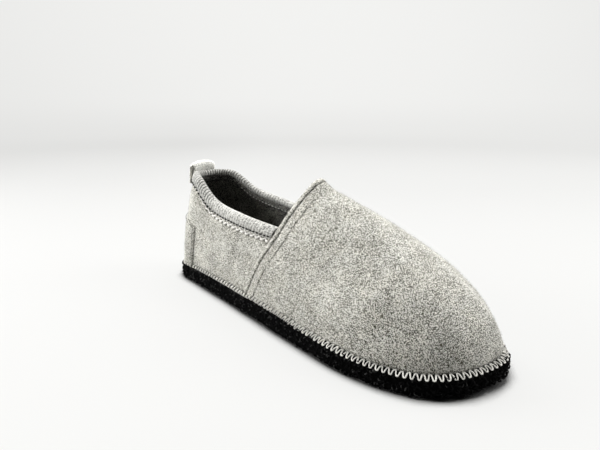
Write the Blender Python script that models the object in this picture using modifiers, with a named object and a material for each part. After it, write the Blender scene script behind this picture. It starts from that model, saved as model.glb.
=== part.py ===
"""Right-foot felt house slipper: looped felt sole, hollow upper, lapped vamp and counter, rib-knit collar."""

import bpy
import bmesh
import numpy as np

MM = 0.001

# Driving sizes in millimetres, x from the heel's back to the toe, y to the inner side, z up
# ROUND_MID is the share of a rounding's radius that is left at its middle
GAP = 0.3
FOOT_GAP = 0.45
LENGTH = 275.0
SOLE_THICKNESS = 11.0
SOLE_BOTTOM_ROUND = 2.2
SOLE_TOP_ROUND = 1.2
ROUND_MID = 0.3
ARCH_RISE = 1.0
ARCH_FROM, ARCH_TO = 92.0, 168.0
TOE_SPRING = 2.5
SPRING_FROM = 228.0
INSOLE_THICKNESS = 4.0
INSOLE_ROUND = 1.0
INSOLE_CLEARANCE = 0.6
WALL = 2.2
LAP_FELT = 1.6
LAP = LAP_FELT + GAP
SPINE_Y = 1.0
COUNTER_HEIGHT = 54.0
COUNTER_CORNER = 8.0
COUNTER_REACH = 2.45
BINDING_DROP = 8.0
BINDING_DROP_INSIDE = 5.0
BINDING_CROWN = 1.6
LOOP_REACH = 0.7
LOOP_FELT = 1.5

# Mesh density: stations in each row of the table, and levels below and above the collar line
STATIONS_PER_ROW = 3
LEVELS_BELOW = 7
LEVELS_ABOVE = 7
MERGE = 0.00005

# The last, a row for each girth station from heel to toe, in millimetres
#   at, lateral, medial   where the sole's edge is: distance from the heel, half widths outwards and inwards
#   ledge_out, ledge_in   how far the sole stands outside the felt on either side
#   spine, crest, fall    where the girth meets the crest: distance, height and slope down to the toe
#   lean                  how far the girth leans forward on its way up
#   wall, crown           how long the girth climbs straight and how flat it closes, as shares
#   collar_out, collar_in heights of the collar's edge on either side, carried on level below the vamp
COLUMNS = ("at", "lateral", "medial", "ledge_out", "ledge_in",
           "spine", "crest", "fall", "lean", "wall", "crown", "collar_out", "collar_in")
LAST = {
    "heel_back":   (0.0,     0.0,  0.0, 1.3, 1.3,  62.0, 115.0, 0.00,  0.0, 0.60, 0.86, 88.6, 88.6),
    "heel_turn":   (4.8,    17.4, 17.0, 1.3, 1.3,  62.0, 115.0, 0.00,  0.0, 0.60, 0.82, 88.6, 88.6),
    "heel_corner": (16.0,   28.6, 28.0, 1.6, 1.6,  63.0, 115.0, 0.00, 11.0, 0.60, 0.69, 85.6, 87.0),
    "heel_side":   (38.0,   31.5, 30.8, 2.6, 1.8,  75.0, 110.0, 0.00, 28.0, 0.59, 0.55, 71.0, 75.6),
    "ankle":       (74.0,   35.5, 31.5, 3.2, 2.0, 104.0, 108.0, 0.20, 32.0, 0.58, 0.50, 66.0, 70.0),
    "throat":      (105.5,  39.2, 33.0, 3.6, 2.0, 146.0,  93.2, 0.25, 39.5, 0.56, 0.42, 63.2, 65.5),
    "shank":       (143.0,  43.8, 37.0, 3.7, 2.0, 170.0,  85.6, 0.36, 27.0, 0.56, 0.42, 63.2, 65.5),
    "instep":      (176.0,  47.5, 43.0, 3.7, 2.0, 190.0,  77.6, 0.42, 14.0, 0.55, 0.44, 63.2, 65.5),
    "ball":        (205.0,  50.0, 46.2, 3.4, 2.2, 209.0,  69.4, 0.44,  4.0, 0.52, 0.46, 63.2, 65.5),
    "toe_side":    (232.0,  47.0, 45.3, 2.3, 2.3, 226.0,  61.8, 0.46,  0.0, 0.48, 0.45, 63.2, 65.5),
    "toe_corner":  (254.0,  38.0, 35.8, 2.2, 2.5, 232.5,  57.2, 0.48,  0.0, 0.45, 0.42, 63.2, 65.5),
    "toe_turn":    (268.0,  21.2, 19.6, 2.2, 2.6, 237.4,  55.2, 0.50,  0.0, 0.38, 0.41, 63.2, 65.5),
    "toe_tip":     (LENGTH, -3.0,  3.0, 2.2, 2.2, 240.0,  54.4, 0.50,  0.0, 0.37, 0.41, 63.2, 65.5),
}
ROWS = list(LAST)
TURNS = 2 * (len(ROWS) - 1)
THROAT = ROWS.index("throat")

# The binding's section round the collar's edge: depth into the wall, drop below the edge
BINDING_INNER = LAP + WALL + LAP
BINDING_SECTION = (
    (LAP - GAP, BINDING_DROP),
    (LAP - GAP, -GAP),
    (LAP + WALL + GAP, -GAP),
    (LAP + WALL + GAP, BINDING_DROP_INSIDE),
    (BINDING_INNER, BINDING_DROP_INSIDE),
    (BINDING_INNER + 0.2, 0.45 * BINDING_DROP_INSIDE),
    (BINDING_INNER, 0.4),
    (0.85 * BINDING_INNER, -0.75 * BINDING_CROWN),
    (0.5 * BINDING_INNER, -BINDING_CROWN - 0.3),
    (0.15 * BINDING_INNER, -0.75 * BINDING_CROWN),
    (0.0, 0.4),
    (-0.3, 0.5 * BINDING_DROP),
    (0.0, BINDING_DROP),
)

# The pull loop's strap seen from the side: depth into the wall and drop, up one leg and down the other
LOOP_PATH = (
    (-1.5, 12.5),
    (-1.5, 5.0),
    (-1.6, -1.5),
    (-2.2, -5.0),
    (-4.0, -6.6),
    (-6.0, -5.4),
    (-6.6, -2.0),
    (-5.6, 3.5),
    (-3.9, 9.0),
    (-3.4, 12.5),
)

COLOURS = {
    "felt_grey": ((0.36, 0.36, 0.34), 0.95),
    "felt_dark": ((0.035, 0.034, 0.033), 0.95),
    "felt_black": ((0.012, 0.012, 0.013), 0.95),
    "rib_knit": ((0.52, 0.51, 0.48), 0.9),
}


def loop_rows():
    """The table right round the shoe: heel, outer side, toe, inner side."""
    table = np.array(list(LAST.values()))
    side_free = table[:, 5:-2]
    outer = np.column_stack([table[:, 0], -table[:, 1], table[:, 3], side_free, table[:, -2]])
    inner = np.column_stack([table[:, 0], table[:, 2], table[:, 4], side_free, table[:, -1]])
    return np.vstack([outer, inner[-2:0:-1]])


LOOP = loop_rows()
LOOP_COLUMNS = ("x", "y", "ledge") + COLUMNS[5:-2] + ("collar",)


def stations(where):
    """Named values at fractional stations: a closed Catmull-Rom curve through the table's rows."""
    where = np.asarray(where, float) % TURNS
    row = np.floor(where).astype(int)
    t = (where - row)[:, None]
    before, here, after, beyond = (LOOP[(row + step) % TURNS] for step in (-1, 0, 1, 2))
    curve = 0.5 * (2 * here + (after - before) * t
                   + (2 * before - 5 * here + 4 * after - beyond) * t ** 2
                   + (3 * here - before - 3 * after + beyond) * t ** 3)
    return dict(zip(LOOP_COLUMNS, curve.T))


def sole_lift(x):
    """How far the sole curves off the ground: a low arch at the waist and a spring at the toe."""
    arch = np.clip((x - ARCH_FROM) / (ARCH_TO - ARCH_FROM), 0, 1)
    spring = np.clip((x - SPRING_FROM) / (LENGTH - SPRING_FROM), 0, 1)
    return ARCH_RISE * np.sin(np.pi * arch) ** 2 + TOE_SPRING * spring ** 2


def outline(where, inset):
    """The sole's edge seen from above, moved inwards by an inset."""
    step = 0.01
    here, before, after = (stations(where + d) for d in (0, -step, step))
    tangent = np.column_stack([after["x"] - before["x"], after["y"] - before["y"]])
    tangent /= np.linalg.norm(tangent, axis=1)[:, None]
    inwards = np.column_stack([-tangent[:, 1], tangent[:, 0]])
    return np.column_stack([here["x"], here["y"]]) + inwards * np.broadcast_to(inset, len(where))[:, None]


def profile(where, level):
    """The felt's outer skin: girths that climb from the sole, lean forward and close at the crest."""
    row = stations(where)
    base = outline(where, row["ledge"])
    foot_z = SOLE_THICKNESS + FOOT_GAP + sole_lift(base[:, 0])
    zero = np.zeros(len(where))
    start = np.column_stack([base, foot_z])
    top = np.column_stack([row["spine"], zero + SPINE_Y, row["crest"]])
    lean = np.column_stack([row["lean"], zero, zero])
    climb = np.column_stack([zero, zero, row["crest"] - foot_z]) + lean
    inwards = top - start - climb
    inwards[:, 2] = -row["fall"] * np.minimum(inwards[:, 0], 0)
    first = start + row["wall"][:, None] * climb
    second = top - row["crown"][:, None] * inwards
    t = level[..., None]
    return ((1 - t) ** 3 * start[:, None] + 3 * (1 - t) ** 2 * t * first[:, None]
            + 3 * (1 - t) * t ** 2 * second[:, None] + t ** 3 * top[:, None])


def skin(where, level, depth):
    """The outer skin moved inwards along its normal by a depth."""
    step = 0.002
    along = profile(where + step, level) - profile(where - step, level)
    up = profile(where, np.minimum(level + step, 1)) - profile(where, np.maximum(level - step, 0))
    normal = np.cross(along, up)
    fall = np.broadcast_to(stations(where)["fall"][:, None], level.shape)
    crest_normal = np.stack([fall, np.zeros(level.shape), np.ones(level.shape)], axis=-1)
    normal = np.where((level > 1 - step)[..., None], crest_normal, normal)
    normal /= np.linalg.norm(normal, axis=-1)[..., None]
    return profile(where, level) - np.broadcast_to(depth, level.shape)[..., None] * normal


def level_at_height(where, height):
    """The level at which each girth reaches a height on its way up."""
    levels = np.linspace(0, 1, 121)
    girths = profile(where, np.broadcast_to(levels, (len(where), len(levels))))
    heights = np.broadcast_to(height, len(where))
    return np.array([np.interp(h, g[:, 2], levels) for h, g in zip(heights, girths)])


def is_vamp(where):
    """True from the throat round the toe to the throat."""
    turn = where % TURNS
    return (turn > THROAT - 1e-6) & (turn < TURNS - THROAT + 1e-6)


def collar_level(where):
    """The level of the collar's edge, carried on unchanged below the vamp."""
    where = np.asarray(where, float)
    edge = level_at_height(where, stations(where)["collar"])
    throats = np.array([THROAT, TURNS - THROAT], float)
    held = np.interp(where % TURNS, throats, level_at_height(throats, stations(throats)["collar"]))
    return np.where(is_vamp(where), held, edge)


def beside_collar(where, depth, drop):
    """Points beside the collar's edge: a depth into the wall and a drop below the edge, along the girth."""
    depth, drop = np.asarray(depth), np.asarray(drop)
    rows = []
    for station, edge in zip(where, collar_level(where)):
        here = np.array([station])
        levels = np.linspace(edge, 0, 60)
        girth = profile(here, levels[None])[0]
        run = np.concatenate([[0], np.cumsum(np.linalg.norm(np.diff(girth, axis=0), axis=1))])
        level = np.interp(np.maximum(drop, 0), run, levels)
        up = (girth[0] - girth[1]) / run[1]
        rows.append(skin(here, level[None], depth[None])[0] - np.minimum(drop, 0)[:, None] * up)
    return np.array(rows)


def all_round():
    """Evenly spaced stations right round the shoe, from the heel's back."""
    return np.arange(TURNS * STATIONS_PER_ROW) / STATIONS_PER_ROW


def vamp_stations():
    """The stations of the vamp, from the outer throat round the toe to the inner throat."""
    where = all_round()
    return where[is_vamp(where)]


def heel_stations(reach):
    """The stations on either side of the heel's back, as far as a reach in rows of the table."""
    whole = np.arange(-TURNS, TURNS + 1) / STATIONS_PER_ROW
    inside = whole[np.abs(whole) < reach - 0.1]
    return np.concatenate([[-reach], inside, [reach]])


def levels_between(low, high, count):
    """Evenly spaced levels for each station between two levels."""
    share = np.linspace(0, 1, count + 1)
    return low[:, None] + (high - low)[:, None] * share


def add_grid(mesh, points, closed):
    """Adds a skin of triangles through a grid of points, with all its diagonals one way."""
    verts = [[mesh.verts.new(p * MM) for p in row] for row in points]
    if closed:
        verts.append(verts[0])
    for left, right in zip(verts, verts[1:]):
        for a, b, c, d in zip(left, right, right[1:], left[1:]):
            mesh.faces.new((a, b, c))
            mesh.faces.new((a, c, d))


def add_ladder(mesh, ring, upwards):
    """Closes a ring from side to side with rungs between its outer and inner halves."""
    count = len(ring)
    for i in range(count // 2):
        corners = [ring[i], ring[i + 1], ring[-i - 1], ring[(count - i) % count]]
        corners = list(dict.fromkeys(corners))
        mesh.faces.new(corners if upwards else corners[::-1])


def add_slab(mesh, where, rows):
    """A flat piece: rings of an inset and a height from bottom to top, closed above and below."""
    rings = []
    for inset, height in rows:
        plan = outline(where, inset)
        points = np.column_stack([plan, height + sole_lift(plan[:, 0])])
        rings.append([mesh.verts.new(p * MM) for p in points])
    for low, high in zip(rings, rings[1:]):
        for i in range(len(low)):
            j = (i + 1) % len(low)
            mesh.faces.new((low[i], low[j], high[j], high[i]))
    add_ladder(mesh, rings[0], upwards=False)
    add_ladder(mesh, rings[-1], upwards=True)


def add_sweep(mesh, sections):
    """A solid through closed sections, one for each station, capped at both ends."""
    rings = [[mesh.verts.new(p * MM) for p in section] for section in sections]
    for left, right in zip(rings, rings[1:]):
        for i in range(len(left)):
            j = (i + 1) % len(left)
            mesh.faces.new((left[i], right[i], right[j], left[j]))
    mesh.faces.new(rings[0])
    mesh.faces.new(rings[-1][::-1])
    bmesh.ops.recalc_face_normals(mesh, faces=mesh.faces)


def felt_material(name):
    """A Principled material in one of the slipper's colours."""
    material = bpy.data.materials.get(name)
    if material:
        return material
    colour, roughness = COLOURS[name]
    material = bpy.data.materials.new(name)
    material.use_nodes = True
    shader = material.node_tree.nodes["Principled BSDF"]
    shader.inputs["Base Color"].default_value = (*colour, 1)
    shader.inputs["Roughness"].default_value = roughness
    shader.inputs["Metallic"].default_value = 0
    return material


def make_piece(name, mesh, colour, collection, frame):
    """Turns a finished bmesh into a named, smooth object of the slipper."""
    bmesh.ops.remove_doubles(mesh, verts=mesh.verts, dist=MERGE)
    data = bpy.data.meshes.new(name)
    mesh.to_mesh(data)
    mesh.free()
    data.materials.append(felt_material(colour))
    data.shade_smooth()
    piece = bpy.data.objects.new(name, data)
    collection.objects.link(piece)
    piece.parent = frame
    return piece


def thicken(piece, thickness):
    """Gives an open skin its felt, inwards from the skin."""
    solid = piece.modifiers.new("felt", "SOLIDIFY")
    solid.thickness = thickness * MM
    solid.offset = -1
    solid.use_even_offset = True
    solid.use_quality_normals = True


def make_outsole(collection, frame):
    """The sole: a slab of looped felt with rounded edges, flat under the heel and the ball."""
    low, high, top = SOLE_BOTTOM_ROUND, SOLE_TOP_ROUND, SOLE_THICKNESS
    rows = ((low, 0), (ROUND_MID * low, ROUND_MID * low), (0, low),
            (0, top - high), (ROUND_MID * high, top - ROUND_MID * high), (high, top))
    mesh = bmesh.new()
    add_slab(mesh, all_round(), rows)
    make_piece("outsole", mesh, "felt_black", collection, frame)


def make_insole(collection, frame):
    """The footbed, inside the upper on the sole."""
    where = all_round()
    edge = stations(where)["ledge"] + LAP + WALL + INSOLE_CLEARANCE
    low = SOLE_THICKNESS + GAP
    high = low + INSOLE_THICKNESS
    middle = ROUND_MID * INSOLE_ROUND
    rows = ((edge, low), (edge, high - INSOLE_ROUND),
            (edge + middle, high - middle), (edge + INSOLE_ROUND, high))
    mesh = bmesh.new()
    add_slab(mesh, where, rows)
    make_piece("insole", mesh, "felt_dark", collection, frame)


def make_upper(collection, frame):
    """The hollow upper: quarters up to the collar's edge, and the vamp's base closed over the crest."""
    mesh = bmesh.new()
    where = all_round()
    edge = collar_level(where)
    add_grid(mesh, skin(where, levels_between(0 * edge, edge, LEVELS_BELOW), LAP), closed=True)
    front = vamp_stations()
    edge = collar_level(front)
    add_grid(mesh, skin(front, levels_between(edge, 0 * edge + 1, LEVELS_ABOVE), LAP), closed=False)
    thicken(make_piece("upper", mesh, "felt_grey", collection, frame), WALL)


def make_vamp(collection, frame):
    """The vamp: a felt overlay in the upper's own form, from the throat to the toe."""
    mesh = bmesh.new()
    front = vamp_stations()
    edge = collar_level(front)
    below = levels_between(0 * edge, edge, LEVELS_BELOW)
    above = levels_between(edge, 0 * edge + 1, LEVELS_ABOVE)
    levels = np.hstack([below, above[:, 1:]])
    add_grid(mesh, skin(front, levels, 0), closed=False)
    thicken(make_piece("vamp", mesh, "felt_grey", collection, frame), LAP_FELT)


def make_heel_counter(collection, frame):
    """The counter: a low felt patch round the heel."""
    mesh = bmesh.new()
    where = heel_stations(COUNTER_REACH)
    top = level_at_height(where, COUNTER_HEIGHT - COUNTER_CORNER * np.abs(where / COUNTER_REACH) ** 3)
    add_grid(mesh, skin(where, levels_between(0 * top, top, LEVELS_BELOW - 2), 0), closed=False)
    thicken(make_piece("heel_counter", mesh, "felt_grey", collection, frame), LAP_FELT)


def make_collar_binding(collection, frame):
    """The binding: a rib-knit channel over the collar's edge, from throat to throat round the heel."""
    mesh = bmesh.new()
    end = THROAT - GAP / (LAST["throat"][0] - LAST["ankle"][0])
    depth, drop = np.array(BINDING_SECTION).T
    add_sweep(mesh, beside_collar(heel_stations(end), depth, drop))
    make_piece("collar_binding", mesh, "rib_knit", collection, frame)


def make_pull_loop(collection, frame):
    """The pull loop: a strap doubled over at the back of the heel, above the collar."""
    path = np.array(LOOP_PATH)
    tangent = np.gradient(path, axis=0)
    tangent /= np.linalg.norm(tangent, axis=1)[:, None]
    side = np.column_stack([-tangent[:, 1], tangent[:, 0]]) * LOOP_FELT / 2
    depth, drop = np.vstack([path + side, (path - side)[::-1]]).T
    mesh = bmesh.new()
    add_sweep(mesh, beside_collar(heel_stations(LOOP_REACH), depth, drop))
    make_piece("pull_loop", mesh, "rib_knit", collection, frame)


def main():
    """Builds the slipper with its origin on the ground, under the middle of the sole."""
    for old in list(bpy.data.objects):
        bpy.data.objects.remove(old, do_unlink=True)
    collection = bpy.data.collections.new("slipper")
    bpy.context.scene.collection.children.link(collection)
    plan = outline(all_round(), 0)
    middle = (plan.min(axis=0) + plan.max(axis=0)) / 2 * MM
    frame = bpy.data.objects.new("slipper_frame", None)
    frame.location = (-middle[0], -middle[1], 0)
    collection.objects.link(frame)
    for make in (make_outsole, make_insole, make_upper, make_vamp,
                 make_heel_counter, make_collar_binding, make_pull_loop):
        make(collection, frame)


main()
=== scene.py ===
"""Looks of a right-foot felt house slipper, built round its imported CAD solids."""

import bmesh
import bpy
import numpy as np
from mathutils import Matrix


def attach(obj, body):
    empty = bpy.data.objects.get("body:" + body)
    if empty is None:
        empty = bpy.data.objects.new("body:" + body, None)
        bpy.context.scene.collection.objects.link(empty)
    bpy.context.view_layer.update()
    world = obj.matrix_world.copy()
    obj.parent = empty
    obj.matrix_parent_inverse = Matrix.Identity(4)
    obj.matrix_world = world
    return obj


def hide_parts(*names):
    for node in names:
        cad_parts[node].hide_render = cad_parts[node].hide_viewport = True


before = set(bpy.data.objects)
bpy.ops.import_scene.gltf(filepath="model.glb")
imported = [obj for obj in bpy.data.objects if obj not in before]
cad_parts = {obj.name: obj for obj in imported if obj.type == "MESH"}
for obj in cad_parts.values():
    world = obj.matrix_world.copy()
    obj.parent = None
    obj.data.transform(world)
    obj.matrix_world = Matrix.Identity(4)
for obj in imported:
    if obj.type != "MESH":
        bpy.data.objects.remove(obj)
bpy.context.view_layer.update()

MM = 0.001
rng = np.random.default_rng(7)

# The last, as in the CAD: millimetres, x from the heel's back to the toe, y to the inner side, z up
LENGTH = 275.0
SOLE_THICKNESS = 11.0
FOOT_GAP = 0.45
GAP = 0.3
ARCH_RISE = 1.0
ARCH_FROM, ARCH_TO = 92.0, 168.0
TOE_SPRING = 2.5
SPRING_FROM = 228.0
SPINE_Y = 1.0
WALL = 2.2
LAP_FELT = 1.6
LAP = LAP_FELT + GAP
INSOLE_THICKNESS = 4.0
INSOLE_CLEARANCE = 0.6
QUARTER_FELT = 1.2
LINING_FELT = 0.8
COLUMNS = ("at", "lateral", "medial", "ledge_out", "ledge_in",
           "spine", "crest", "fall", "lean", "wall", "crown", "collar_out", "collar_in")
LAST = {
    "heel_back":   (0.0,     0.0,  0.0, 1.3, 1.3,  62.0, 115.0, 0.00,  0.0, 0.60, 0.86, 88.6, 88.6),
    "heel_turn":   (4.8,    17.4, 17.0, 1.3, 1.3,  62.0, 115.0, 0.00,  0.0, 0.60, 0.82, 88.6, 88.6),
    "heel_corner": (16.0,   28.6, 28.0, 1.6, 1.6,  63.0, 115.0, 0.00, 11.0, 0.60, 0.69, 85.6, 87.0),
    "heel_side":   (38.0,   31.5, 30.8, 2.6, 1.8,  75.0, 110.0, 0.00, 28.0, 0.59, 0.55, 71.0, 75.6),
    "ankle":       (74.0,   35.5, 31.5, 3.2, 2.0, 104.0, 108.0, 0.20, 32.0, 0.58, 0.50, 66.0, 70.0),
    "throat":      (105.5,  39.2, 33.0, 3.6, 2.0, 146.0,  93.2, 0.25, 39.5, 0.56, 0.42, 63.2, 65.5),
    "shank":       (143.0,  43.8, 37.0, 3.7, 2.0, 170.0,  85.6, 0.36, 27.0, 0.56, 0.42, 63.2, 65.5),
    "instep":      (176.0,  47.5, 43.0, 3.7, 2.0, 190.0,  77.6, 0.42, 14.0, 0.55, 0.44, 63.2, 65.5),
    "ball":        (205.0,  50.0, 46.2, 3.4, 2.2, 209.0,  69.4, 0.44,  4.0, 0.52, 0.46, 63.2, 65.5),
    "toe_side":    (232.0,  47.0, 45.3, 2.3, 2.3, 226.0,  61.8, 0.46,  0.0, 0.48, 0.45, 63.2, 65.5),
    "toe_corner":  (254.0,  38.0, 35.8, 2.2, 2.5, 232.5,  57.2, 0.48,  0.0, 0.45, 0.42, 63.2, 65.5),
    "toe_turn":    (268.0,  21.2, 19.6, 2.2, 2.6, 237.4,  55.2, 0.50,  0.0, 0.38, 0.41, 63.2, 65.5),
    "toe_tip":     (LENGTH, -3.0,  3.0, 2.2, 2.2, 240.0,  54.4, 0.50,  0.0, 0.37, 0.41, 63.2, 65.5),
}
ROWS = list(LAST)
TURNS = 2 * (len(ROWS) - 1)
THROAT = ROWS.index("throat")
TOE = TURNS // 2

# Stitches, knit and binding, in millimetres
EDGE_PITCH = 3.65
EDGE_THREAD = 0.44
LAP_STITCH = 3.3
COLLAR_STITCH = 3.8
OVERLOCK_PITCH = 5.6
RIB_PITCH = 2.9
KNIT_STITCH = 1.1
BINDING_DROP = 7.9
SEAM_THREAD = 0.26

# The lap: its flare over the instep, its sewn rows, and the levels where the second row fades
LAP_FLARE = 2.6
LAP_FLARE_REACH = 9.0
LAP_ROWS = (4.1, 11.7)
LAP_ROW_FADE = (0.66, 0.84)

# The lap's felt across its edge: distance from the edge, depth below the skin
LAP_SECTION = (
    (0.0, 1.6), (0.05, 1.1), (0.2, 0.6), (0.45, 0.25), (0.8, 0.0), (1.3, -0.2), (2.4, -0.3),
    (3.3, -0.1), (3.6, 0.2), (3.9, 0.6), (4.2, 0.65), (4.5, 0.35), (4.9, 0.05), (5.6, -0.08),
    (7.5, -0.15), (10.3, -0.05), (10.9, 0.05), (11.4, 0.3), (11.7, 0.45), (12.0, 0.3),
    (12.5, 0.05), (14.0, 0.0),
)


def unit(vectors):
    """Vectors of length one."""
    return vectors / np.maximum(np.linalg.norm(vectors, axis=-1), 1e-9)[..., None]


def lengths_along(line):
    """Lengths along a line of points, counted from its first."""
    return np.concatenate([[0], np.cumsum(np.linalg.norm(np.diff(line, axis=0), axis=1))])


def at_lengths(wanted, run, line):
    """The points of a line at wanted lengths along it."""
    return np.column_stack([np.interp(wanted, run, line[:, i]) for i in range(line.shape[1])])


def loop_rows():
    """The table right round the shoe: heel, outer side, toe, inner side."""
    table = np.array(list(LAST.values()))
    side_free = table[:, 5:-2]
    outer = np.column_stack([table[:, 0], -table[:, 1], table[:, 3], side_free, table[:, -2]])
    inner = np.column_stack([table[:, 0], table[:, 2], table[:, 4], side_free, table[:, -1]])
    return np.vstack([outer, inner[-2:0:-1]])


LOOP = loop_rows()
LOOP_COLUMNS = ("x", "y", "ledge") + COLUMNS[5:-2] + ("collar",)


def stations(where):
    """Named values at fractional stations: a closed Catmull-Rom curve through the table's rows."""
    where = np.asarray(where, float) % TURNS
    row = np.floor(where).astype(int) % TURNS
    t = (where - np.floor(where))[..., None]
    before, here, after, beyond = (LOOP[(row + step) % TURNS] for step in (-1, 0, 1, 2))
    curve = 0.5 * (2 * here + (after - before) * t
                   + (2 * before - 5 * here + 4 * after - beyond) * t ** 2
                   + (3 * here - before - 3 * after + beyond) * t ** 3)
    return dict(zip(LOOP_COLUMNS, np.moveaxis(curve, -1, 0)))


def sole_lift(x):
    """How far the sole curves off the ground: a low arch at the waist and a spring at the toe."""
    arch = np.clip((x - ARCH_FROM) / (ARCH_TO - ARCH_FROM), 0, 1)
    spring = np.clip((x - SPRING_FROM) / (LENGTH - SPRING_FROM), 0, 1)
    return ARCH_RISE * np.sin(np.pi * arch) ** 2 + TOE_SPRING * spring ** 2


def outline_frame(where):
    """The sole's edge seen from above, and its direction inwards."""
    step = 0.01
    here, before, after = (stations(where + d) for d in (0, -step, step))
    tangent = unit(np.stack([after["x"] - before["x"], after["y"] - before["y"]], -1))
    inwards = np.stack([-tangent[..., 1], tangent[..., 0]], -1)
    return np.stack([here["x"], here["y"]], -1), inwards


def outline(where, inset):
    """The sole's edge seen from above, moved inwards by an inset."""
    edge, inwards = outline_frame(where)
    return edge + inwards * np.asarray(inset)[..., None]


def on_sole(where, inset, height):
    """Points in the sole's body: an inset from its edge and a height above its underside."""
    plan = outline(where, inset)
    return np.concatenate([plan, (height + sole_lift(plan[..., 0]))[..., None]], -1)


def profile(where, level):
    """The felt's outer skin: girths that climb from the sole, lean forward and close at the crest."""
    row = stations(where)
    base = outline(where, row["ledge"])
    foot_z = SOLE_THICKNESS + FOOT_GAP + sole_lift(base[..., 0])
    zero = np.zeros(where.shape)
    start = np.concatenate([base, foot_z[..., None]], -1)
    top = np.stack([row["spine"], zero + SPINE_Y, row["crest"]], -1)
    climb = np.stack([row["lean"], zero, row["crest"] - foot_z], -1)
    inwards = top - start - climb
    inwards[..., 2] = -row["fall"] * np.minimum(inwards[..., 0], 0)
    first = start + row["wall"][..., None] * climb
    second = top - row["crown"][..., None] * inwards
    t = level[..., None]
    rest = 1 - t
    return rest ** 3 * start + 3 * rest ** 2 * t * first + 3 * rest * t ** 2 * second + t ** 3 * top


def skin_normal(where, level):
    """Outward normals of the felt's outer skin."""
    step = 0.002
    along = profile(where + step, level) - profile(where - step, level)
    up = profile(where, np.minimum(level + step, 1)) - profile(where, np.maximum(level - step, 0))
    crest = np.stack([stations(where)["fall"], np.zeros(where.shape), np.ones(where.shape)], -1)
    return unit(np.where((level > 1 - step)[..., None], crest, np.cross(along, up)))


def skin(where, level, depth):
    """The outer skin moved inwards along its normal by a depth."""
    where, level, depth = np.broadcast_arrays(where, level, depth)
    return profile(where, level) - depth[..., None] * skin_normal(where, level)


def lookup(table, row, column):
    """Bilinear reading of a table at fractional rows and columns."""
    row = np.clip(row, 0, table.shape[0] - 1.001)
    column = np.clip(column, 0, table.shape[1] - 1.001)
    i, j = row.astype(int), column.astype(int)
    a, b = row - i, column - j
    low = table[i, j] * (1 - b) + table[i, j + 1] * b
    high = table[i + 1, j] * (1 - b) + table[i + 1, j + 1] * b
    return low * (1 - a) + high * a


# Girths measured once: their levels at lengths along the felt and at heights
STATION_STEPS = 16
RUN_STEP = 0.5
RUN_MOST = 130.0
MEASURED = np.arange(TURNS * STATION_STEPS + 1) / STATION_STEPS
LEVELS = np.linspace(0, 1, 161)
GIRTHS = profile(*np.meshgrid(MEASURED, LEVELS, indexing="ij"))
GIRTH_RUNS = np.cumsum(np.linalg.norm(np.diff(GIRTHS, axis=1, prepend=GIRTHS[:, :1]), axis=2), axis=1)
RUNS = np.arange(0, RUN_MOST, RUN_STEP)
LEVEL_AT_RUN = np.array([np.interp(RUNS, run, LEVELS) for run in GIRTH_RUNS])
LEVEL_AT_HEIGHT = np.array([np.interp(RUNS, girth[:, 2], LEVELS) for girth in GIRTHS])


def level_at_run(where, run):
    """The level at a length along the girth from the sole."""
    return lookup(LEVEL_AT_RUN, where % TURNS * STATION_STEPS, run / RUN_STEP)


def level_at_height(where, height):
    """The level at which a girth reaches a height on its way up."""
    return lookup(LEVEL_AT_HEIGHT, where % TURNS * STATION_STEPS, height / RUN_STEP)


def run_at_level(where, level):
    """The length along the girth from the sole to a level."""
    return lookup(GIRTH_RUNS, where % TURNS * STATION_STEPS, level * (len(LEVELS) - 1))


def is_vamp(where):
    """True from the throat round the toe to the throat."""
    turn = where % TURNS
    return (turn > THROAT - 1e-6) & (turn < TURNS - THROAT + 1e-6)


def collar_level(where):
    """The level of the collar's edge, carried on unchanged below the vamp."""
    where = np.asarray(where, float)
    throats = np.array([THROAT, TURNS - THROAT], float)
    held = np.interp(where % TURNS, throats, level_at_height(throats, stations(throats)["collar"]))
    return np.where(is_vamp(where), held, level_at_height(where, stations(where)["collar"]))


def beside_collar(where, depth, drop):
    """Points at a depth into the wall and a drop below the collar's edge, or on up the girth's slope."""
    where, depth, drop = np.broadcast_arrays(where, depth, drop)
    edge_level = collar_level(where)
    edge = run_at_level(where, edge_level)
    up = unit(profile(where, edge_level) - profile(where, level_at_run(where, edge - 1.5)))
    level = level_at_run(where, edge - np.maximum(drop, 0))
    return skin(where, level, depth) - np.minimum(drop, 0)[..., None] * up


# The lap's edge: how far forward of the throat's girth it lies at each length up the girth
EDGE_SHIFT_RUNS = (0.0, 34.0, 54.0, 70.0, 95.0, 200.0)
EDGE_SHIFTS = (-1.9, -1.9, -0.2, -1.0, -2.1, -2.1)
LAP_STEP = 0.5
LAP_FROM, LAP_TO = -8.0, 24.0


def measure_lap(inner):
    """Stations at distances forward of the throat's girth, for each level, on one side of the shoe."""
    turns = np.linspace(THROAT - 0.5, THROAT + 1.3, 91)
    where = TURNS - turns if inner else turns
    grid = profile(*np.meshgrid(where, LEVELS, indexing="ij"))
    along = np.gradient(grid, axis=0)
    up = unit(np.gradient(grid, axis=1))
    across = np.linalg.norm(along - (along * up).sum(-1)[..., None] * up, axis=-1)
    distance = np.cumsum(across, axis=0)
    distance -= distance[np.argmin(np.abs(turns - THROAT))]
    wanted = np.arange(LAP_FROM, LAP_TO, LAP_STEP)
    return np.array([np.interp(wanted, distance[:, j], turns) for j in range(len(LEVELS))])


LAP_TURNS = {inner: measure_lap(inner) for inner in (False, True)}


def lap_station(level, distance, inner):
    """The station at a distance forward of the lap's edge, counted from the heel on either side."""
    at = np.full(level.shape, float(THROAT))
    run = run_at_level(TURNS - at if inner else at, level)
    shift = np.interp(run, EDGE_SHIFT_RUNS, EDGE_SHIFTS)
    return lookup(LAP_TURNS[inner], level * (len(LEVELS) - 1), (distance + shift - LAP_FROM) / LAP_STEP)


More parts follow.
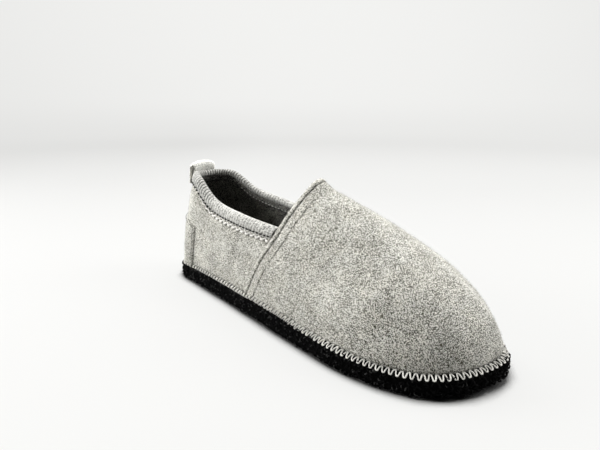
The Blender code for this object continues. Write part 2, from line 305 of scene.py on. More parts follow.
def lap_flare(level, distance):
    """How far the lap stands off the instep, most at its edge over the crest."""
    crest = np.clip((level - 0.7) / 0.3, 0, 1)
    return LAP_FLARE * np.exp(-(distance / LAP_FLARE_REACH) ** 2) * crest ** 2 * (3 - 2 * crest)


def middle_of_sole():
    """Where the CAD puts the origin: under the middle of the sole's box."""
    plan = outline(np.arange(TURNS * 3) / 3, 0)
    return np.array([*(plan.min(axis=0) + plan.max(axis=0)) / 2, 0])


MIDDLE = middle_of_sole()

# Soft unevenness of the felt: a few long waves in fixed directions, deeper where they are longer
WAVE_COUNT = 14
WAVE_DEPTH = 0.0028
WAVE_DIRECTIONS = unit(rng.normal(size=(WAVE_COUNT, 3)))
WAVE_LENGTHS = rng.uniform(16, 60, WAVE_COUNT)
WAVE_PHASES = rng.uniform(0, 2 * np.pi, WAVE_COUNT)

# Soft creases in the felt: middle, direction along the crease, half length, half width and depth
CREASES = (
    ((92.0, -37.0, 40.0), (0.35, 0.0, 0.94), 17.0, 7.0, 0.7),
    ((30.0, -27.0, 66.0), (0.85, -0.2, -0.45), 15.0, 6.0, 0.9),
    ((30.0, 27.0, 66.0), (0.85, 0.2, -0.45), 15.0, 6.0, 0.9),
    ((188.0, -34.0, 58.0), (0.6, 0.75, 0.25), 26.0, 9.0, 0.6),
    ((214.0, 8.0, 66.0), (0.15, 0.98, 0.1), 24.0, 8.0, 0.5),
    ((236.0, -30.0, 38.0), (0.5, 0.8, 0.3), 20.0, 8.0, 0.5),
    ((150.0, 34.0, 50.0), (0.8, 0.3, 0.5), 22.0, 8.0, 0.6),
)


def unevenness(points):
    """How far the felt sinks below its even form at points on it."""
    phase = 2 * np.pi * (points @ WAVE_DIRECTIONS.T) / WAVE_LENGTHS + WAVE_PHASES
    sink = (np.sin(phase) * WAVE_LENGTHS).sum(-1) * WAVE_DEPTH
    for middle, direction, length, width, depth in CREASES:
        away = points - np.array(middle)
        line = unit(np.array(direction))
        along = away @ line
        across = np.linalg.norm(away - along[..., None] * line, axis=-1)
        sink = sink + depth * np.exp(-(along / length) ** 2 - (across / width) ** 2)
    return sink


# How high the felt's foot is tucked in, and how high the painted shade near the sole reaches: deep at the
# tuck, faint higher up
TUCK_HEIGHT = 3.4
TUCK_SHADE_HEIGHT = 2.8
SHADED_HEIGHT = 32.0


def foot_tuck(where, run):
    """How far the edge stitch pulls the felt's foot in, a little more at each stitch."""
    pull = np.clip(1 - run / TUCK_HEIGHT, 0, 1) ** 2
    return pull * (0.75 + 0.2 * np.cos(2 * np.pi * edge_count(where)))


def foot_painted_shade(run):
    """Painted shade on the felt near the sole, deepest where the felt tucks in under the edge stitch."""
    tuck_shade = np.clip(1 - run / TUCK_SHADE_HEIGHT, 0, 1)
    shaded = np.clip(1 - run / SHADED_HEIGHT, 0, 1)
    return 0.9 * tuck_shade + 0.1 * shaded


# The edge stitch is counted along the sole's outline
OUTLINE = outline(MEASURED, np.zeros(len(MEASURED)))
OUTLINE_RUN = lengths_along(OUTLINE)
EDGE_STITCHES = round(OUTLINE_RUN[-1] / EDGE_PITCH)


def edge_count(where):
    """How many edge stitches lie between the heel's back and a station."""
    return np.interp(where % TURNS, MEASURED, OUTLINE_RUN) / OUTLINE_RUN[-1] * EDGE_STITCHES


def grid_quads(rows, columns, closed=False):
    """Quads through a grid of points that is stored row by row."""
    i, j = np.meshgrid(np.arange(rows if closed else rows - 1), np.arange(columns - 1), indexing="ij")
    after = (i + 1) % rows
    corners = (i * columns + j, after * columns + j, after * columns + j + 1, i * columns + j + 1)
    return np.stack(corners, -1).reshape(-1, 4)


def ring_quads(rings, count):
    """Quads between closed rings of points that are stored one after the other."""
    i, j = np.meshgrid(np.arange(rings - 1), np.arange(count), indexing="ij")
    after = (j + 1) % count
    corners = (i * count + j, i * count + after, (i + 1) * count + after, (i + 1) * count + j)
    return np.stack(corners, -1).reshape(-1, 4)


def end_caps(rings, count):
    """Faces that close the first and the last of some rings of points."""
    return [list(range(count))[::-1], list(range((rings - 1) * count, rings * count))]


def tubes(paths, normals, radius, sides, closed=False, ply=0.0, twist=0.0):
    """Round threads along paths of equal length; ply and twist give each two strands turned together."""
    count, steps = paths.shape[:2]
    if closed:
        tangent = unit(np.roll(paths, -1, axis=1) - np.roll(paths, 1, axis=1))
    else:
        tangent = unit(np.gradient(paths, axis=1))
    across = unit(np.cross(tangent, normals))
    outward = np.cross(across, tangent)
    angle = 2 * np.pi * np.arange(sides) / sides
    turned = angle + twist * np.arange(steps)[:, None]
    reach = np.asarray(radius)[..., None] * (1 + ply * np.cos(2 * turned))
    ring = across[:, :, None] * np.cos(angle)[:, None] + outward[:, :, None] * np.sin(angle)[:, None]
    points = paths[:, :, None] + np.broadcast_to(reach, (count, steps, sides))[..., None] * ring
    i, j = np.meshgrid(np.arange(steps if closed else steps - 1), np.arange(sides), indexing="ij")
    after, beside = (i + 1) % steps, (j + 1) % sides
    corners = (i * sides + j, i * sides + beside, after * sides + beside, after * sides + j)
    one = np.stack(corners, -1).reshape(-1, 4)
    faces = (one + (np.arange(count) * steps * sides)[:, None, None]).reshape(-1, 4)
    return points.reshape(-1, 3), faces


class Wire:
    """A socket of a material's node tree; arithmetic between wires and numbers adds Math nodes."""

    def __init__(self, tree, socket):
        self.tree = tree
        self.socket = socket

    def node(self, kind, settings, sockets, output=0):
        """Adds a node to the tree, with its settings first and then its sockets."""
        node = self.tree.nodes.new(kind)
        for key, value in settings.items():
            setattr(node, key, value)
        for key, value in sockets.items():
            if isinstance(value, Wire):
                self.tree.links.new(value.socket, node.inputs[key])
            else:
                node.inputs[key].default_value = value
        return Wire(self.tree, node.outputs[output])

    def math(self, operation, first, second):
        """A Math node on two values, each a wire or a number."""
        return self.node("ShaderNodeMath", {"operation": operation}, {0: first, 1: second})

    def __add__(self, other):
        return self.math("ADD", self, other)

    def __radd__(self, other):
        return self.math("ADD", other, self)

    def __sub__(self, other):
        return self.math("SUBTRACT", self, other)

    def __rsub__(self, other):
        return self.math("SUBTRACT", other, self)

    def __mul__(self, other):
        return self.math("MULTIPLY", self, other)

    def __rmul__(self, other):
        return self.math("MULTIPLY", other, self)

    def __pow__(self, other):
        return self.math("POWER", self, other)

    def sine(self):
        """The sine of this wire in radians."""
        return self.math("SINE", self, 0.0)

    def clamp(self):
        """This wire held between 0 and 1."""
        return self.node("ShaderNodeClamp", {}, {"Value": self})

    def ramp(self, low, high):
        """Rises smoothly from 0 at one value to 1 at another."""
        settings = {"interpolation_type": "SMOOTHSTEP"}
        return self.node("ShaderNodeMapRange", settings, {"Value": self, "From Min": low, "From Max": high})

    def noise(self, scale, detail=2.0, roughness=0.5):
        """Noise on a vector wire in millimetres, its scale in patches per millimetre."""
        sockets = {"Vector": self, "Scale": scale, "Detail": detail, "Roughness": roughness}
        return self.node("ShaderNodeTexNoise", {}, sockets)

    def stretched(self, turn, stretch):
        """The vector wire turned and squeezed, so that noise on it draws strands."""
        return self.node("ShaderNodeMapping", {}, {"Vector": self, "Rotation": turn, "Scale": stretch})

    def colour(self, low, high):
        """A colour between two, by this wire; each may be a wire or a colour."""
        ends = [end if isinstance(end, Wire) else (*end, 1) for end in (low, high)]
        settings = {"data_type": "RGBA"}
        return self.node("ShaderNodeMix", settings, {0: self.clamp(), 6: ends[0], 7: ends[1]}, output=2)

    def bump(self, distance, strength=1.0):
        """A normal from this wire as a height, its distance in millimetres."""
        sockets = {"Height": self, "Strength": strength, "Distance": distance * MM}
        return self.node("ShaderNodeBump", {}, sockets)


def new_material(name, constants):
    """A Principled material, a function that feeds its sockets, and its place in millimetres."""
    material = bpy.data.materials.new(name)
    material.use_nodes = True
    tree = material.node_tree
    shader = tree.nodes["Principled BSDF"]
    for key, value in constants.items():
        shader.inputs[key].default_value = value
    start = Wire(tree, tree.nodes.new("ShaderNodeTexCoord").outputs["Object"])
    place = start.node("ShaderNodeVectorMath", {"operation": "SCALE"}, {0: start, "Scale": 1 / MM})

    def feed(socket, wire):
        """Links a wire to one of the shader's sockets."""
        tree.links.new(wire.socket, shader.inputs[socket])

    return material, feed, place


# Fibres are noise drawn out along three turned directions
STRAND_TURNS = ((0.3, 0.2, 0.5), (1.1, 0.7, 1.9), (2.0, 1.4, 0.2))
STRAND_STRETCH = (0.28, 1.0, 1.0)


def strands(place, scale):
    """Thin strands in three directions, about a half on average."""
    total = 0.0
    for turn in STRAND_TURNS:
        total = place.stretched(turn, STRAND_STRETCH).noise(scale, 2.0, 0.6) + total
    return total * (1 / len(STRAND_TURNS))


def marled_felt(name, dark, light, sheen, gloss):
    """Wool felt of dark and light fibres; a tone above 0 darkens it and below 0 lightens it, mostly with
    painted shade and painted light.
    """
    constants = {"Roughness": 0.95, "Specular IOR Level": gloss, "Sheen Weight": sheen,
                 "Sheen Roughness": 0.4, "Sheen Tint": (1.0, 0.99, 0.97, 1)}
    material, feed, place = new_material(name, constants)
    strand = strands(place, 2.5)
    fleck = place.noise(1.75, 1.0, 0.5).ramp(0.32, 0.68)
    fine = place.noise(3.1, 1.0, 0.5).ramp(0.3, 0.7)
    tuft = place.noise(0.3, 3.0, 0.6)
    mottle = place.noise(0.07, 2.0, 0.5)
    mix = (0.47 + (strand - 0.5) * 9.6 + (fleck - 0.5) * 3.2 + (fine - 0.5) * 2.8
           + (tuft - 0.5) * 1.7 + (mottle - 0.5) * 1.9)
    tint = place.noise(0.09, 2.0, 0.5).ramp(0.35, 0.65)
    dark_tinted = tint.colour(dark, [c * f for c, f in zip(dark, (0.97, 1.0, 1.05))])
    light_tinted = tint.colour(light, [c * f for c, f in zip(light, (1.01, 1.0, 0.98))])
    tone = place.node("ShaderNodeAttribute", {"attribute_name": "tone"}, {}, output=2)
    feed("Base Color", (mix - tone).colour(dark_tinted, light_tinted))
    height = strand * 1.2 + fleck * 0.25 + tuft * 0.6
    feed("Normal", height.bump(0.7, 0.6))
    return material


def rib_knit(name, dark, light):
    """Fine rib knit drawn on lengths along and across the band, with painted shade in the grooves between
    ribs; its tone tells how far the ribs open and so how deep that painted shade is.
    """
    constants = {"Roughness": 0.92, "Specular IOR Level": 0.2,
                 "Sheen Weight": 0.35, "Sheen Roughness": 0.5}
    material, feed, place = new_material(name, constants)
    band = place.node("ShaderNodeUVMap", {"uv_map": "band"}, {})
    along = band.node("ShaderNodeSeparateXYZ", {}, {0: band}, output=0)
    across = band.node("ShaderNodeSeparateXYZ", {}, {0: band}, output=1)
    groove = 0.5 - (along * (2 * np.pi / RIB_PITCH) + np.pi / 2).sine() * 0.5
    lean = (along * (np.pi / RIB_PITCH)).sine()
    stitch = (across * (2 * np.pi / KNIT_STITCH) + lean * 1.6).sine()
    yarn = place.noise(0.9, 3.0, 0.6)
    fleck = strands(place, 1.7)
    mottle = place.noise(0.12, 2.0, 0.5)
    opened = place.node("ShaderNodeAttribute", {"attribute_name": "tone"}, {}, output=2)
    # The grooves between ribs are painted darker: painted shade
    mix = (0.72 - groove ** 2.0 * opened * 1.1 + stitch * 0.1
           + (yarn - 0.5) * 2.8 + (fleck - 0.5) * 4.2 + (mottle - 0.5) * 0.5)
    feed("Base Color", mix.colour(dark, light))
    feed("Normal", (stitch * 0.25 - groove * 0.4 + yarn * 0.6).bump(0.5, 0.7))
    return material


def spun_yarn(name, dark, light, sheen, gloss):
    """Spun thread with darker and lighter lengths."""
    constants = {"Roughness": 0.9, "Specular IOR Level": gloss,
                 "Sheen Weight": sheen, "Sheen Roughness": 0.5}
    material, feed, place = new_material(name, constants)
    fibre = place.noise(2.4, 3.0, 0.65)
    length = place.noise(0.25, 2.0, 0.5)
    feed("Base Color", (0.5 + (fibre - 0.5) * 1.6 + (length - 0.5) * 0.8).colour(dark, light))
    feed("Normal", fibre.bump(0.35, 0.6))
    return material


def nap_wool(name, dark, light):
    """Loose fibres of the nap, each with its own shade."""
    constants = {"Roughness": 0.9, "Specular IOR Level": 0.2,
                 "Sheen Weight": 0.2, "Sheen Roughness": 0.5}
    material, feed, place = new_material(name, constants)
    shade = place.node("ShaderNodeAttribute", {"attribute_name": "shade"}, {}, output=2)
    change = place.noise(0.8, 2.0, 0.5)
    feed("Base Color", (shade + (change - 0.5) * 0.4).colour(dark, light))
    return material


# Finishes, each between a dark and a light fibre; felts and yarns also state their sheen and gloss
GREY_FELT = marled_felt("marled_felt", (0.03, 0.029, 0.015), (0.65, 0.641, 0.588), 0.25, 0.15)
CHARCOAL_FELT = marled_felt("charcoal_felt", (0.003, 0.003, 0.003), (0.26, 0.257, 0.23), 0.03, 0.08)
HEM_FELT = marled_felt("hem_felt", (0.003, 0.003, 0.003), (0.34, 0.335, 0.31), 0.05, 0.1)
SOLE_FELT = marled_felt("looped_felt", (0.001, 0.001, 0.001), (0.003, 0.003, 0.003), 0.0, 0.01)
KNIT = rib_knit("rib_knit", (0.08, 0.079, 0.07), (0.5, 0.495, 0.46))
LOOP_KNIT = rib_knit("loop_knit", (0.16, 0.158, 0.143), (0.88, 0.873, 0.815))
EDGE_YARN = spun_yarn("edge_yarn", (0.33, 0.323, 0.297), (0.78, 0.766, 0.71), 0.2, 0.2)
PALE_YARN = spun_yarn("pale_yarn", (0.5, 0.49, 0.46), (0.88, 0.86, 0.82), 0.2, 0.2)
SEAM_YARN = spun_yarn("seam_yarn", (0.06, 0.059, 0.055), (0.22, 0.217, 0.2), 0.1, 0.15)
DARK_YARN = spun_yarn("dark_yarn", (0.006, 0.006, 0.006), (0.03, 0.029, 0.027), 0.0, 0.05)
LOOP_YARN = spun_yarn("loop_yarn", (0.0005, 0.0005, 0.0005), (0.007, 0.007, 0.0072), 0.0, 0.04)
GLINT_YARN = spun_yarn("glint_yarn", (0.004, 0.004, 0.004), (0.06, 0.06, 0.058), 0.0, 0.05)
NAP_WOOL = nap_wool("nap_wool", (0.12, 0.12, 0.112), (0.72, 0.71, 0.68))


def add_piece(name, points, faces, material, replaced=(), band=None, tone=None, weld=False):
    """A smooth piece from points in the last's millimetres, riding on the slipper.

    The band is a length along and across the knit at each point, and the tone a darkening at each point,
    mostly painted shade and painted light.
    """
    data = bpy.data.meshes.new(name)
    places = (np.reshape(points, (-1, 3)) - MIDDLE) * MM
    data.from_pydata(places.tolist(), [], [list(face) for face in faces])
    if band is not None:
        corner = np.zeros(len(data.loops), np.int32)
        data.loops.foreach_get("vertex_index", corner)
        layer = data.uv_layers.new(name="band")
        layer.data.foreach_set("uv", band[corner].astype(np.float32).ravel())
    if tone is not None:
        layer = data.attributes.new("tone", "FLOAT", "POINT")
        layer.data.foreach_set("value", np.ravel(tone).astype(np.float32))
    if weld:
        mesh = bmesh.new()
        mesh.from_mesh(data)
        bmesh.ops.remove_doubles(mesh, verts=mesh.verts, dist=0.01 * MM)
        mesh.to_mesh(data)
        mesh.free()
    data.shade_smooth()
    data.materials.append(material)
    piece = bpy.data.objects.new(name, data)
    bpy.context.scene.collection.objects.link(piece)
    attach(piece, "root")
    if replaced:
        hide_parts(*replaced)
    return piece


def thicken(piece, thickness):
    """Gives an open skin its felt, inwards."""
    felt = piece.modifiers.new("felt", "SOLIDIFY")
    felt.thickness = thickness * MM
    felt.offset = -1


# Nap: the number of loose fibres on each felt, and its skin, kept when the piece is made
NAP_FIBRES = {"vamp": 37200, "quarters": 18000, "heel_patch": 4800}
NAP = {}


def keep_for_nap(name, points, faces):
    """Remembers a felt skin that gets loose fibres."""
    NAP[name] = (np.reshape(points, (-1, 3)), faces)


def make_vamp():
    """The vamp's felt, its lapped edge with two sewn channels, and the place where it meets the sole."""
    levels = np.concatenate([np.linspace(0, 0.07, 12)[:-1], np.linspace(0.07, 1, 84)])
    near = np.concatenate([[0.0, 0.05, 0.2, 0.45, 0.75], np.arange(1.1, 14.1, 0.35)])
    onward = np.linspace(0, 1, 121)[1:]
    halves = []
    for inner in (False, True):
        level, distance = np.meshgrid(levels, near)
        turn = lap_station(level, distance, inner)
        last = turn[-1]
        turn = np.vstack([turn, last + (TOE - last) * onward[:, None]])
        halves.append(turn)
    crest = (halves[0][:, -1] + halves[1][:, -1]) / 2
    for half in halves:
        half[:, -1] = crest
    where = np.vstack([halves[0], (TURNS - halves[1])[-2::-1]])
    distance = np.concatenate([near, np.full(len(onward), 99.0)])
    distance = np.concatenate([distance, distance[-2::-1]])
    level = np.broadcast_to(levels, where.shape)
    run = run_at_level(where, level)
    section = np.array(LAP_SECTION)
    lap = np.interp(distance, section[:, 0], section[:, 1])[:, None] * np.ones(len(levels))
    sewn = (distance > 2.3) & (distance < 13)
    pulled = 0.8 + 0.2 * np.cos(2 * np.pi * run / LAP_STITCH)
    lap = lap * np.where(sewn[:, None], pulled, 1)
    shown = 1 - np.clip((level - LAP_ROW_FADE[0]) / (LAP_ROW_FADE[1] - LAP_ROW_FADE[0]), 0, 1)
    lap = lap * np.where((distance > 9)[:, None], shown, 1)
    cut = 0.12 * np.sin(run * 2.3) + 0.1 * np.sin(run * 4.1 + 1)
    lap = lap + cut * np.clip(1 - distance / 3, 0, 1)[:, None]
    fade = np.clip(distance / 14, 0, 1)[:, None]
    plain = profile(where, level)
    flare = lap_flare(level, distance[:, None])
    points = skin(where, level, lap - flare + foot_tuck(where, run) + unevenness(plain) * fade)
    faces = grid_quads(*where.shape)
    # Painted shade in the two sewn channels and at the foot, and a painted highlight along the lap's cut
    # edge, stronger up the girth; the vamp's middle is also a little darker
    first, second = (np.exp(-((distance - row) / 0.75) ** 2)[:, None] for row in LAP_ROWS)
    pale = np.interp(distance, (0, 2.4, 3.4), (0.6, 0.4, 0.0))[:, None]
    pale = pale * np.interp(run, (20, 55), (0.2, 1.0))
    tone = pulled * (1.5 * first + 1.4 * second * shown) - pale
    tone = tone + foot_painted_shade(run) + 0.05 * np.exp(-((plain[..., 0] - 165) / 40) ** 2)
    add_piece("felt_vamp", points, faces, GREY_FELT, ["vamp"], tone=tone, weld=True)
    keep_for_nap("vamp", points, faces)


def make_quarters():
    """The quarters' felt from sole to collar, on under the lap, with a channel below the binding."""
    where = np.linspace(-THROAT - 0.5, THROAT + 0.5, 601)
    edge = run_at_level(where, collar_level(where))
    even, length = collar_stations(THROAT - 0.06, 0.5)
    swing = np.cos(2 * np.pi * np.interp(where, even, length) / OVERLOCK_PITCH)[:, None]
    foot, collar = 4.0, 16.0
    low = np.linspace(0, foot, 9)[:-1]
    drops = np.concatenate([np.linspace(collar, 6, 41), [3.0, 0.0]])
    between = np.linspace(0, 1, 30)
    runs = np.array([np.concatenate([low, foot + (e - collar - foot) * between, (e - drops)[1:]])
                     for e in edge])
    station = np.broadcast_to(where[:, None], runs.shape)
    level = level_at_run(station, runs)
    drop = edge[:, None] - runs
    below = drop - BINDING_DROP
    along = np.clip((np.abs(station) - 2.2) / 0.8, 0, 1)
    channel = 0.1 * np.exp(-((below - 0.3) / 0.6) ** 2)
    channel = channel - 0.5 * along * np.exp(-((below - 1.5) / 1.2) ** 4)
    plain = profile(station, level)
    depth = LAP + channel + foot_tuck(station, runs) + unevenness(plain)
    points = skin(station, level, depth)
    faces = grid_quads(*station.shape)
    # Painted shadow in scallops under the overlock, and the painted shade at the foot
    tone = 1.3 * along * np.exp(-((below - 3.5 - 0.8 * swing) / 0.7) ** 2) + foot_painted_shade(runs)
    piece = add_piece("felt_quarters", points, faces, GREY_FELT, ["upper"], tone=tone)
    thicken(piece, QUARTER_FELT)
    shown = (np.abs(station) < THROAT) & (below > 1)
    quad_shown = shown.reshape(-1)[faces].all(axis=1)
    keep_for_nap("quarters", points, faces[quad_shown])


def inside_painted_shade(points):
    """Painted shade on the felt inside, deepest towards the heel and darker towards the toes, with painted
    light at the throat.
    """
    return np.interp(points[:, 0], (60, 110, 150), (0.6, -0.7, 0.4))


def make_lining():
    """The dark felt inside, all round and closed over the toes, with painted shade that is lightest near
    the throat.
    """
    depth = LAP + WALL
    round_all = np.arange(TURNS * 10) / 10
    level = collar_level(round_all)[:, None] * np.linspace(0, 1, 60)
    where = np.broadcast_to(round_all[:, None], level.shape)
    ring = skin(where, level, depth + 0.4 * unevenness(profile(where, level)))
    front = round_all[is_vamp(round_all)]
    edge = collar_level(front)[:, None]
    level = edge + (1 - edge) * np.linspace(0, 1, 26)
    where = np.broadcast_to(front[:, None], level.shape)
    cover = skin(where, level, depth + 0.4 * unevenness(profile(where, level)))
    ring_faces = grid_quads(len(round_all), ring.shape[1], closed=True)
    cover_faces = grid_quads(*cover.shape[:2]) + ring.shape[0] * ring.shape[1]
    points = np.vstack([ring.reshape(-1, 3), cover.reshape(-1, 3)])
    faces = np.vstack([ring_faces, cover_faces])[:, ::-1]
    tone = inside_painted_shade(points)
    piece = add_piece("dark_lining", points, faces, CHARCOAL_FELT, tone=tone, weld=True)
    thicken(piece, LINING_FELT)


def make_lining_hem():
    """The lining's ragged edge below the binding, inside, with painted shade that deepens downwards and
    round the heel, and painted light at its top.
    """
    where, _ = collar_stations(THROAT - 0.05, 1.5)
    drop = np.array((2.0, 3.5, 5.0, 6.5, 8.0, 9.3, 10.0))
    sunk = np.array((0.2, 0.25, 0.25, 0.3, 0.35, 0.25, 0.0))
    ragged = 0.5 * np.sin(where * 23) + 0.35 * np.sin(where * 57 + 1)
    reach = np.where(drop > 9, ragged[:, None], 0.0)
    hem = beside_collar(where[:, None], LAP + WALL + sunk[None], drop[None] + reach)
    hem_painted_shade = np.interp(drop, (2.0, 6.0, 8.0, 10.0), (-0.3, 0.1, 0.3, 1.4))
    heel_painted_shade = np.interp(np.abs(where), (1.6, 2.8), (0.6, 0.0))
    faces = grid_quads(*hem.shape[:2])[:, ::-1]
    add_piece("lining_hem", hem, faces, HEM_FELT, tone=hem_painted_shade + heel_painted_shade[:, None])


# The heel patch: how far round it reaches in stations, then its sizes and its seam's in millimetres
PATCH_FOOT = 2.62
PATCH_CORNER = 2.45
PATCH_HEIGHT = 54.0
PATCH_FALL = 8.0
PATCH_SEAM = 1.0
PATCH_HALF_WIDTH = 46.0
PATCH_CLIMB = 38.0
PATCH_STITCH = 3.1
PATCH_THREAD_LENGTH = 2.6


def patch_place(u, v):
    """Station and level on the heel patch, from side to side and from foot to top."""
    where = u * (PATCH_FOOT + (PATCH_CORNER - PATCH_FOOT) * v)
    foot = SOLE_THICKNESS + FOOT_GAP
    height = foot + (PATCH_HEIGHT - PATCH_FALL * np.abs(u) ** 3 - foot) * v
    return where, level_at_height(where, height)


def patch_edge(points):
    """How far the points of a patch grid are from its sides and its top."""
    along = np.linalg.norm(np.diff(points, axis=0, prepend=points[:1]), axis=2).cumsum(axis=0)
    up = np.linalg.norm(np.diff(points, axis=1, prepend=points[:, :1]), axis=2).cumsum(axis=1)
    return np.minimum(np.minimum(along, along[-1] - along), up[:, -1:] - up)


def make_heel_patch():
    """The felt patch round the heel, its edge sewn down."""
    across = np.sin(np.linspace(-1, 1, 181) * np.pi / 2)
    up = np.sin(np.linspace(0, 1, 76) * np.pi / 2)
    where, level = patch_place(*np.meshgrid(across, up, indexing="ij"))
    plain = profile(where, level)
    edge = patch_edge(plain)
    depth = np.interp(edge, (0, 0.3, 0.8, 1.5, 3.0, 5.0, 9.0), (1.95, 1.55, 1.2, 0.95, 0.6, 0.3, 0.1))
    run = run_at_level(where, level)
    points = skin(where, level, depth + foot_tuck(where, run) + unevenness(plain))
    faces = grid_quads(*where.shape)
    # Painted shade along the patch's sunk edge and at the foot
    tone = np.maximum(np.clip(1 - edge / 1.1, 0, 1), foot_painted_shade(run))
    add_piece("felt_heel_patch", points, faces, GREY_FELT, ["heel_counter"], tone=tone)
    keep_for_nap("heel_patch", points, faces)


# The binding's outside round the collar's edge: depth into the wall, drop below the edge
BINDING_OUTSIDE = (
    (2.0, BINDING_DROP + 1.0), (1.3, BINDING_DROP + 0.3), (0.75, BINDING_DROP - 0.6),
    (0.15, 5.6), (-0.25, 4.0), (-0.25, 2.4), (0.05, 0.8), (0.7, -0.5), (1.8, -1.5), (3.0, -1.85),
    (4.2, -1.5), (5.3, -0.5), (5.8, 0.6), (5.75, 1.7), (5.3, 2.6), (4.5, 2.9),
)
BINDING_CHANNEL = ((4.4, 2.5), (4.4, -0.2), (1.6, -0.2), (1.6, BINDING_DROP - 0.2))
RIB_HEIGHT = 0.36


def resample(points, count):
    """A smooth line through points: evenly spaced along a Catmull-Rom curve."""
    points = np.asarray(points, float)
    padded = np.vstack([2 * points[0] - points[1], points, 2 * points[-1] - points[-2]])
    t = np.linspace(0, 1, 12, endpoint=False)[:, None]
    line = [0.5 * (2 * b + (c - a) * t
                   + (2 * a - 5 * b + 4 * c - d) * t ** 2
                   + (3 * b - a - 3 * c + d) * t ** 3)
            for a, b, c, d in zip(padded, padded[1:], padded[2:], padded[3:])]
    line = np.vstack([*line, points[-1:]])
    run = lengths_along(line)
    even = np.linspace(0, run[-1], count)
    return at_lengths(even, run, line)


def collar_stations(end, pitch):
    """Even stations along the collar's edge, from side to side round the heel, and their lengths."""
    where = np.linspace(-end, end, 400)
    edge = profile(where, collar_level(where))
    run = lengths_along(edge)
    even = np.linspace(0, run[-1], round(run[-1] / pitch) + 1)
    return np.interp(even, run, where), even


def make_binding():
    """The rib-knit binding, its ribs across the collar's edge and opened round the heel."""
    outside = resample(BINDING_OUTSIDE, 26)
    section = np.vstack([outside, BINDING_CHANNEL])
    where, run = collar_stations(THROAT - 0.045, RIB_PITCH / 8)
    depth, drop = section.T
    points = beside_collar(where[:, None], depth[None], drop[None])
    inside = beside_collar(where[:, None], LAP + WALL / 2, 1.5)
    out = unit(points - inside)
    opened = np.interp(np.abs(where), (2.2, 3.4), (1.0, 0.3))
    rib = RIB_HEIGHT * opened * (np.abs(np.cos(np.pi * run / RIB_PITCH)) - 0.7)
    visible = np.concatenate([np.minimum(1, np.arange(len(outside)) / 2), np.zeros(len(BINDING_CHANNEL))])
    points = points + out * (rib[:, None] * visible)[..., None]
    shape = points.shape[:2]
    faces = ring_quads(*shape)[:, ::-1].tolist() + end_caps(*shape)
    length = lengths_along(section)
    band = np.stack(np.broadcast_arrays(run[:, None], length[None]), -1).reshape(-1, 2)
    # How far the ribs open also sets the painted shade in their grooves
    tone = np.broadcast_to(opened[:, None], shape)
    add_piece("knit_binding", points, faces, KNIT, ["collar_binding"], band=band, tone=tone)


# The pull loop's strap from the side, as in the CAD: depth into the wall, drop below the edge
LOOP_PATH = (
    (-1.5, 12.5), (-1.5, 5.0), (-1.6, -1.5), (-2.2, -5.0), (-4.0, -6.6),
    (-6.0, -5.4), (-6.6, -2.0), (-5.6, 3.5), (-3.9, 9.0), (-3.4, 12.5),
)
LOOP_REACH = 0.7
LOOP_FELT = 1.5
LOOP_SAG = 3.4
LOOP_STEP = 0.9


def make_pull_loop():
    """The knit strap doubled over at the back of the heel, with rounded edges."""
    path = resample(LOOP_PATH, 44)
    tangent = unit(np.gradient(path, axis=0))
    side = np.column_stack([-tangent[:, 1], tangent[:, 0]]) * LOOP_FELT / 2
    across = np.sin(np.linspace(-1, 1, 41) * np.pi / 2)
    swell = np.sqrt(np.maximum(1 - np.clip((np.abs(across) - 0.9) / 0.1, 0, 1) ** 2, 0.02))
    half = side[None] * swell[:, None, None]
    section = np.concatenate([path[None] + half, (path[None] - half)[:, ::-1]], axis=1)
    where = np.broadcast_to((across * LOOP_REACH)[:, None], section.shape[:2])
    sag = LOOP_SAG * np.abs(across[:, None]) ** 3 * np.clip(-section[..., 1] / 5, 0, 1)
    points = beside_collar(where, section[..., 0], section[..., 1] + sag)
    shape = points.shape[:2]
    faces = ring_quads(*shape).tolist() + end_caps(*shape)
    steps = np.arange(len(path))
    length = np.concatenate([steps, steps[::-1]]) * LOOP_STEP
    band = np.stack(np.broadcast_arrays(0 * across[:, None], length[None]), -1).reshape(-1, 2)
    piece = add_piece("knit_pull_loop", points, faces, LOOP_KNIT, ["pull_loop"], band=band)
    mesh = bmesh.new()
    mesh.from_mesh(piece.data)
    bmesh.ops.recalc_face_normals(mesh, faces=mesh.faces)
    mesh.to_mesh(piece.data)
    mesh.free()


def slab(where, rows):
    """A flat closed piece: rings of an inset and a height from bottom to top."""
    rings = [on_sole(where, np.broadcast_to(inset, where.shape), height) for inset, height in rows]
    count = len(where)
    faces = [list(face) for face in ring_quads(len(rings), count)]
    for ring, upwards in ((0, False), (len(rings) - 1, True)):
        for i in range(count // 2):
            corners = [i, i + 1, count - i - 1, (count - i) % count]
            corners = [ring * count + c for c in dict.fromkeys(corners)]
            faces.append(corners if upwards else corners[::-1])
    return np.array(rings), faces


# The sole's edge: how uneven it is, and where and how far the outer waist swells low down
EDGE_UNEVENNESS = 1.1
WAIST_AT, WAIST_REACH = 150.0, 45.0
WAIST_SWELL = 0.9


